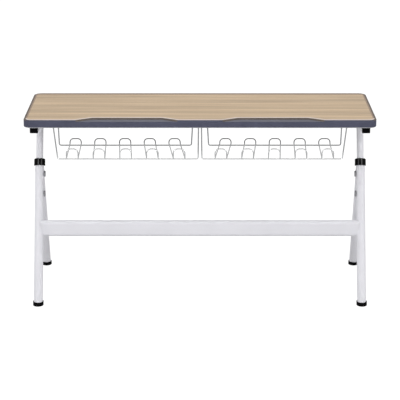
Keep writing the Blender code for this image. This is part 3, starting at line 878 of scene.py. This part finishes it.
def make_plug(place, side, end_y, facing):
    """A square plug with a rounded rim and a sunken panel in its face."""
    half = arm_size / 2
    panel = half - plug_panel_inset
    insert = half - arm_wall - gap
    steps = [(insert, plug_flange + plug_insert), (insert, plug_flange), (half, plug_flange)]
    steps += [(half - inward, down) for inward, down in quarter_round(plug_round, plug_facets)]
    steps += [(panel + plug_panel_depth, 0), (panel, plug_panel_depth)]
    levels = []
    for reach, depth in steps:
        radius = max(arm_corner_radius - (half - reach), sharpest_corner)
        levels.append((rounded_rectangle(2 * reach, 2 * reach, radius), -depth))
    plug = lofted(place + "_plug_cap", levels)
    plug.rotation_euler.x = -facing * math.pi / 2
    plug.location = (side * leg_plane, end_y, arm_underside + half)
    plug = settle(plug, smooth_angle=32)
    dress(plug, "plug", upper, "black_plastic", place + "_arm_plug")


def pan_head(name, radius, height, shank, length):
    """A pan-head screw with a cross slot. Its head's top faces down at local zero."""
    crown = height / 2
    profile = [
        (0, length),
        (shank / 2, length),
        (shank, length - shank),
        (shank, height),
        (radius, height),
        (radius, crown),
        *((radius * across, crown * down) for across, down in screw_crown_shares),
        (0, 0),
    ]
    screw = turned(name, profile, facets=small_turn_facets)
    scale = radius * 2 / arm_screw_head
    slot = rounded_rectangle(cross_slot_length * scale, cross_slot_width * scale, 0)
    tools = []
    for turn in range(2):
        tool = prism(f"{name}_slot_{turn}", slot, -overrun, cross_slot_depth * scale)
        tool.rotation_euler.z = math.pi / 2 * turn
        tools.append(tool)
    return cut(screw, *tools)


def set_down(item, x, y, z):
    """Put a settled piece at a place, in its mesh, so that its object stays at the origin."""
    item.data.transform(Matrix.Translation((x, y, z)))


def make_arm_screw(place, x, y):
    head, shank = arm_screw_head / 2, arm_screw_shank / 2
    bottom = arm_underside - gap - arm_screw_head_height
    length = core_bottom + arm_screw_grip - bottom
    screw = pan_head(place + "_pan_screw", head, arm_screw_head_height, shank, length)
    set_down(screw, x, y, bottom)
    dress(screw, "steel", upper, "zinc_steel", place + "_arm_screw")


# Legs

def level_block(axis, bottom, top):
    """A block round a foot, wider than it, between two levels."""
    x, y = axis[:2]
    width = 4 * foot_diameter
    corners = rectangle_corners(width, width, 0)
    outline = [(x + across, y + along) for across, along, _ in corners]
    return prism("level_block", outline, bottom, top)


def rod(name, radius, axis, low, high):
    """A solid round bar on a leg's axis, between two distances from the floor."""
    return place_on_axis(turned(name, bar_profile(radius, 0, high - low)), axis, low)


def make_foot(place, axis, height):
    """A cap round the leg's end, with its sole and its rim level and their edges eased."""
    name = place + "_cap"
    reach = foot_diameter
    foot = rod(name, foot_diameter / 2, axis, -reach, reach)
    floor = level_block(axis, -3 * reach, 0)
    above = level_block(axis, height, 3 * reach)
    socket = rod(name + "_socket", leg_radius + gap, axis, -reach, 2 * reach)
    socket = cut(socket, level_block(axis, -3 * reach, foot_sole))
    foot = settle(soften(cut(foot, floor, above, socket), foot_round, 3))
    dress(foot, "foot", lower, "foot_plastic", place + "_foot")


def tube(name, radius, wall, length):
    profile = [(radius, length), (radius, 0), (radius - wall, 0), (radius - wall, length)]
    return turned(name, profile)


def make_leg_tube(name, axis, length):
    """A tube along a leg's axis whose lower end is cut level, just above the foot's sole."""
    reach = foot_diameter
    leg = place_on_axis(tube(name, leg_radius, leg_wall, length + reach), axis, -reach)
    return cut(leg, level_block(axis, -3 * reach, foot_sole + gap))


def leg_space(side):
    """The space of a front leg, which is cut from what is coped against it."""
    return rod("leg_space", leg_radius + gap, front_axis(side), 0, axis_to_arm)


def make_post(name, side):
    length = axis_to_arm - post_start + post_radius * math.tan(leg_tilt) + overrun
    post = tube(name + "_post_tube", post_radius, post_wall, length)
    place_on_axis(post, front_axis(side), post_start)
    block = rounded_rectangle(arm_size * 4, desk_depth, 0)
    arm_space = prism(name + "_arm_space", block, arm_underside - gap, top_height)
    arm_space.location.x = side * leg_plane
    dress(cut(post, arm_space), "white", upper, "white_metal", name + "_post")


def make_collar(name, side):
    """The guide collar: a rounded top, a slight waist, a flared skirt and a parting line."""
    outer = collar_diameter / 2
    sleeve = leg_radius + gap
    bore = post_radius + gap
    shoulder = collar_height - collar_lip
    waist = outer - collar_waist
    rounding = reversed(quarter_round(collar_round, collar_facets))
    profile = [
        (bore, shoulder),
        (bore, collar_height - collar_groove),
        (bore + collar_groove, collar_height),
        *((waist - inward, collar_height - down) for inward, down in rounding),
        (waist, collar_skirt + collar_groove * 2),
        (waist - collar_groove, collar_skirt + collar_groove),
        (waist, collar_skirt),
        (outer, collar_skirt - collar_waist * 2),
        (outer, collar_groove),
        (outer - collar_groove, 0),
        (sleeve, 0),
        (sleeve, shoulder),
    ]
    collar = turned(name + "_collar_cap", profile)
    place_on_axis(collar, front_axis(side), axis_to_collar_top - collar_height)
    collar = settle(collar, smooth_angle=30)
    dress(collar, "collar", lower, "black_plastic", name + "_collar")


def make_bolt(place, side, distance):
    """A hexagon head with chamfered corners and a washer face, on its shank."""
    name = place + "_hex_bolt"
    across = bolt_head_across_flats / 2
    corner = across / math.cos(math.pi / 6)
    brim = corner + bolt_head_chamfer / 2
    head = prism(name, circle(corner, 6), 0, bolt_head_height)
    profile = [
        (0, bolt_head_height),
        (across, bolt_head_height),
        (brim, bolt_head_height - bolt_head_chamfer),
        (brim, bolt_washer_face),
        (across, bolt_washer_face),
        (across, 0),
        (0, 0),
    ]
    head = cut(head, turned(name + "_crown", profile), operation="INTERSECT")
    profile = bar_profile(bolt_diameter / 2, post_radius - leg_radius, overrun / 2)
    shank = settle(turned(name + "_shank", profile, facets=small_turn_facets))
    shell = bmesh.new()
    for item in (head, shank):
        shell.from_mesh(item.data)
        bpy.data.objects.remove(item, do_unlink=True)
    bolt = settle(soften(shell_object(name, shell), bolt_washer_face / 2, 2, 25))
    y, z = axis_point(front_foot_y, leg_tilt, distance)
    inwards = Matrix.Rotation(-side * math.pi / 2, 4, "Y")
    centre = Matrix.Translation((side * (leg_plane - leg_radius - gap), y, z))
    bolt.data.transform(centre @ inwards)
    dress(bolt, "steel", lower, "zinc_steel", place + "_bolt")


# Weld beads

def bead(name, points, body):
    """A closed rippled fillet along its points."""
    ring = points + points[:1]
    evened = []
    for start, end in zip(ring, ring[1:]):
        steps = max(1, round((end - start).length / weld_pitch))
        evened += [start.lerp(end, step / steps) for step in range(steps)]
    phase = math.tau / weld_ripple_points
    swell = [1 + weld_ripple * math.sin(phase * index) for index in range(len(evened))]
    seam = settle(wire(name, evened, weld_bead, True, swell))
    dress(seam, "white", body, "white_metal")


def rear_leg_seam(side):
    """Where each line along a rear leg's surface first meets the surface of the front leg."""
    rear_x, _, tilt, lean = rear_axis(side)
    front_foot = Vector((side * leg_plane, front_foot_y, 0))
    rear_foot = Vector((rear_x, rear_foot_y, 0))
    front = Vector((0, math.sin(leg_tilt), math.cos(leg_tilt)))
    turn = Matrix.Rotation(lean, 3, "Y") @ Matrix.Rotation(-tilt, 3, "X")
    rear = turn @ Vector((0, 0, 1))
    across = rear - front * rear.dot(front)
    points = []
    for x, y in circle(leg_radius, turn_facets):
        start = rear_foot + turn @ Vector((x, y, 0))
        apart = start - front_foot
        apart -= front * apart.dot(front)
        slope = apart.dot(across)
        room = slope**2 - across.length_squared * (apart.length_squared - leg_radius**2)
        along = (-slope - math.sqrt(max(room, 0))) / across.length_squared
        points.append(start + rear * along)
    return points


def stretcher_seam(side):
    """Where the stretcher's section meets the inner side of a front leg."""
    normal = Vector((math.cos(leg_tilt), -math.sin(leg_tilt)))
    foot = Vector((front_foot_y, 0))
    points = []
    for across, along in rounded_rectangle(*stretcher_section):
        y, z = stretcher_y + across, stretcher_level + along
        away = (Vector((y, z)) - foot).dot(normal)
        depth = math.sqrt(max(leg_radius**2 - away**2, (leg_radius / 2) ** 2))
        points.append(Vector((side * (leg_plane - depth), y, z)))
    return points


def post_seam(side):
    """Where a post meets the underside of its arm."""
    level = arm_underside - gap
    x, y = side * leg_plane, front_foot_y + level * math.tan(leg_tilt)
    slope = math.cos(leg_tilt)
    rim = circle(post_radius, turn_facets)
    return [Vector((x + across, y + along / slope, level)) for across, along in rim]


def make_stretcher():
    length = 2 * leg_plane - leg_radius
    stretcher = section_tube("stretcher_tube", *stretcher_section, stretcher_wall, length)
    stretcher.rotation_euler = (math.pi / 2, 0, math.pi / 2)
    stretcher.location = (0, stretcher_y, stretcher_level)
    stretcher = cut(stretcher, *map(leg_space, sides.values()))
    dress(stretcher, "white", lower, "white_metal", "stretcher")


def make_lower_frame():
    make_stretcher()
    for name, side in sides.items():
        front, rear = front_axis(side), rear_axis(side)
        front_leg = make_leg_tube(name + "_front_tube", front, leg_length)
        dress(front_leg, "white", lower, "white_metal", name + "_front_leg")
        rear_leg = make_leg_tube(name + "_rear_tube", rear, rear_leg_length)
        rear_leg = cut(rear_leg, leg_space(side))
        dress(rear_leg, "white", lower, "white_metal", name + "_rear_leg")
        bead(name + "_leg_weld", rear_leg_seam(side), lower)
        bead(name + "_stretcher_weld", stretcher_seam(side), lower)
        make_collar(name, side)
        make_foot(name + "_front", front, front_foot_height)
        make_foot(name + "_rear", rear, rear_foot_height)
        for place, drop in (("_upper", bolt_drop), ("_lower", bolt_drop + bolt_spacing)):
            make_bolt(name + place, side, leg_length - drop)


# Wire baskets

def rim_point(side, share, y, level):
    """A point of the rim, or below it, at a share of its width from its outer side."""
    inner = basket_inner + basket_rear_taper * (y - basket_front) / basket_run
    return Vector((side * (basket_outer + (inner - basket_outer) * share), y, level))


def bottom_x(side, share, front):
    """X of a point of an end frame's bottom at a share of its width, from its outer side."""
    if front:
        outer = basket_outer - basket_front_outer_slant
        inner = basket_inner + basket_front_inner_slant
    else:
        outer = basket_outer - basket_rear_outer_slant
        inner = basket_inner + basket_rear_taper + basket_rear_inner_slant
    return side * (outer + (inner - outer) * share)


def make_end_frame(name, side, end, y, finish):
    """The U-shaped wire at the front or rear of a basket."""
    top = rim_level - frame_wire / 2 - gap
    corners = []
    for share in (0, 1):
        low = Vector((bottom_x(side, share, end == "front"), y, basket_bottom))
        pair = [(rim_point(side, share, y, top), 0), (low, basket_bend_radius)]
        corners += reversed(pair) if share else pair
    frame_piece = bent_wire(f"{name}_{end}_frame_wire", corners, frame_wire, False)
    dress(frame_piece, finish, upper, "wire", f"{name}_basket_{end}_frame")


def make_rim(name, side):
    places = ((0, rim_front), (1, rim_front), (1, rim_rear), (0, rim_rear))
    corners = [(rim_point(side, *place, rim_level), rim_corner_radius) for place in places]
    rim = bent_wire(name + "_rim_wire", corners, frame_wire, True)
    dress(rim, "wire", upper, "wire", name + "_basket_rim")


def make_hoop(name, side, index):
    """A closed hoop that lies on both end frames and rises as an arch past each."""
    level = basket_bottom + (frame_wire + hoop_wire) / 2 + gap
    front_x = bottom_x(side, hoop_front_first_share + hoop_front_step_share * index, True)
    rear_x = bottom_x(side, hoop_rear_first_share + hoop_rear_step_share * index, False)
    front_y = basket_front - hoop_overhang
    rear_y = basket_rear + hoop_overhang
    half = hoop_width / 2
    front = (front_x, front_y, basket_bottom + hoop_front_rise, 1)
    rear = (rear_x, rear_y, basket_bottom + hoop_rear_rise, -1)
    corners = []
    for x, y, top, turn in (front, rear):
        bend, arch = (level, hoop_bend_radius), (top, hoop_arch_radius)
        for offset, (z, radius) in ((-half, bend), (-half, arch), (half, arch), (half, bend)):
            corners.append((Vector((x + turn * offset, y, z)), radius))
    hoop = bent_wire(f"{name}_hoop_wire_{index + 1}", corners, hoop_wire, True)
    dress(hoop, "hoop_wire", upper, "wire", f"{name}_basket_hoop_{index + 1}")
    crossings = []
    for offset in (-half, half):
        near = Vector((front_x + offset, front_y, level))
        far = Vector((rear_x + offset, rear_y, level))
        for y in (basket_front, basket_rear):
            crossings.append(near.lerp(far, (y - front_y) / (rear_y - front_y)))
    return crossings


def make_spot_welds(name, places):
    """Squeezed drops of metal where the wires cross or end."""
    shell = bmesh.new()
    for place in places:
        made = bmesh.ops.create_icosphere(shell, subdivisions=2, radius=spot_weld / 2)
        for vertex in made["verts"]:
            phase = vertex.co.x * math.tau / spot_weld + place.x * spot_weld_turn
            vertex.co = vertex.co * (1 + spot_weld_ripple * math.sin(phase))
            vertex.co.z *= spot_weld_squeeze
        bmesh.ops.translate(shell, vec=place, verts=made["verts"])
    dress(settle(shell_object(name + "_spot_welds", shell)), "wire", upper, "wire")


def make_clip(place, number, x, y, facing):
    """A strap that hugs the rim wire, with rounded edges, and the screw in its tab."""
    name = f"{place}saddle_{number}"
    hug = frame_wire / 2 + gap + clip_thickness / 2
    tab_level = backing_bottom - gap - clip_thickness / 2 - rim_level
    path = [(hug + clip_tab, tab_level), (hug, tab_level)]
    for step in range(saddle_facets + 1):
        angle = math.pi * step / saddle_facets
        path.append((hug * math.cos(angle), -hug * math.sin(angle)))
    shell = bmesh.new()
    ends = (-clip_width / 2, clip_width / 2)
    rows = [[shell.verts.new((end, along, level)) for end in ends] for along, level in path]
    for (a, b), (c, d) in zip(rows, rows[1:]):
        shell.faces.new((a, b, d, c))
    bmesh.ops.remove_doubles(shell, verts=shell.verts, dist=weld)
    clip = shell_object(name, shell)
    solid = clip.modifiers.new("thickness", "SOLIDIFY")
    solid.thickness = clip_thickness
    solid.offset = 0
    solid.use_even_offset = True
    soften(clip, clip_thickness / 6, 2, 50)
    clip.location = (x, y, rim_level)
    if facing < 0:
        clip.rotation_euler.z = math.pi
    dress(settle(clip), "steel", upper, "zinc_steel", f"{place}clip_{number}")
    sizes = (clip_screw_head / 2, clip_screw_height, clip_screw_shank / 2, clip_screw_length)
    screw = pan_head(name + "_screw", *sizes)
    bottom = backing_bottom - gap - clip_thickness - clip_screw_height
    set_down(screw, x, y + facing * (hug + clip_tab / 2), bottom)
    dress(screw, "steel", upper, "zinc_steel")


def make_basket(name, side):
    make_rim(name, side)
    make_end_frame(name, side, "front", basket_front, "front_wire")
    make_end_frame(name, side, "rear", basket_rear, "wire")
    welds = []
    drop = Vector((0, 0, (hoop_wire + gap) / 2))
    for index in range(hoop_count):
        welds += [place - drop for place in make_hoop(name, side, index)]
    for share in (0, 1):
        for y in (basket_front, basket_rear):
            welds.append(rim_point(side, share, y, rim_level - frame_wire / 2))
    make_spot_welds(name, welds)
    for end, y, facing in (("front", rim_front, 1), ("rear", rim_rear, -1)):
        for number, share in enumerate(clip_place_shares, start=1):
            x, _, _ = rim_point(side, share, y, rim_level)
            make_clip(f"{name}_{end}_", number, x, y, facing)


def make_upper_frame():
    make_laminate()
    make_edge()
    finish_node("core_board", "core")
    finish_node("backing_sheet", "backing")
    for name, side in sides.items():
        make_arm(name, side)
        for end, end_y, facing in (("_front", arm_front, -1), ("_rear", arm_rear, 1)):
            make_plug(name + end, side, end_y, facing)
            make_arm_screw(name + end, side * leg_plane, end_y - facing * arm_screw_inset)
        make_post(name, side)
        bead(name + "_post_weld", post_seam(side), upper)
        finish_node(name + "_post_guide", "plug")
        make_basket(name, side)


def finish_node(node, finish):
    """Give a CAD node that stays in view its finish."""
    nodes[node].data.materials[0] = materials[finish]


# Studio

def make_floor():
    shell = bmesh.new()
    bmesh.ops.create_grid(shell, x_segments=1, y_segments=1, size=floor_reach)
    floor = shell_object("studio_floor", shell)
    floor.data.materials.append(studio_paper())


def sided(place, side):
    return (side * place[0], *place[1:])


def make_area_light(name, location, target, size, power, spread=180):
    data = bpy.data.lights.new(name, "AREA")
    data.shape = "RECTANGLE"
    data.size, data.size_y = size
    data.energy = power
    data.spread = math.radians(spread)
    light = link(bpy.data.objects.new(name, data))
    light.location = location
    light.rotation_euler = (Vector(target) - Vector(location)).to_track_quat("-Z", "Y").to_euler()


def light_studio():
    world = bpy.data.worlds.new("studio")
    world.use_nodes = True
    background = world.node_tree.nodes["Background"]
    background.inputs["Color"].default_value = (1, 1, 1, 1)
    background.inputs["Strength"].default_value = world_strength
    bpy.context.scene.world = world
    for name, side in sides.items():
        for end, (place, power), aim in (("side", side_light, side), ("front", front_light, -side)):
            ends = (sided(place, side), sided(leg_light_target, aim))
            light = f"{name}_{end}_light"
            make_area_light(light, *ends, leg_light_size, power, leg_light_spread)
    make_area_light("low_light", *low_light)
    make_area_light("top_light", *top_light)
    bpy.context.scene.view_settings.view_transform = "Standard"


def make_camera():
    data = bpy.data.cameras.new("camera")
    data.lens = camera_lens
    data.sensor_width = camera_sensor
    data.shift_y = camera_shift
    data.clip_end = camera_reach
    camera = link(bpy.data.objects.new("camera", data))
    camera.location = camera_place
    camera.rotation_euler.x = math.radians(90 - camera_pitch)
    bpy.context.scene.camera = camera


make_lower_frame()
make_upper_frame()
make_floor()
make_camera()
light_studio()
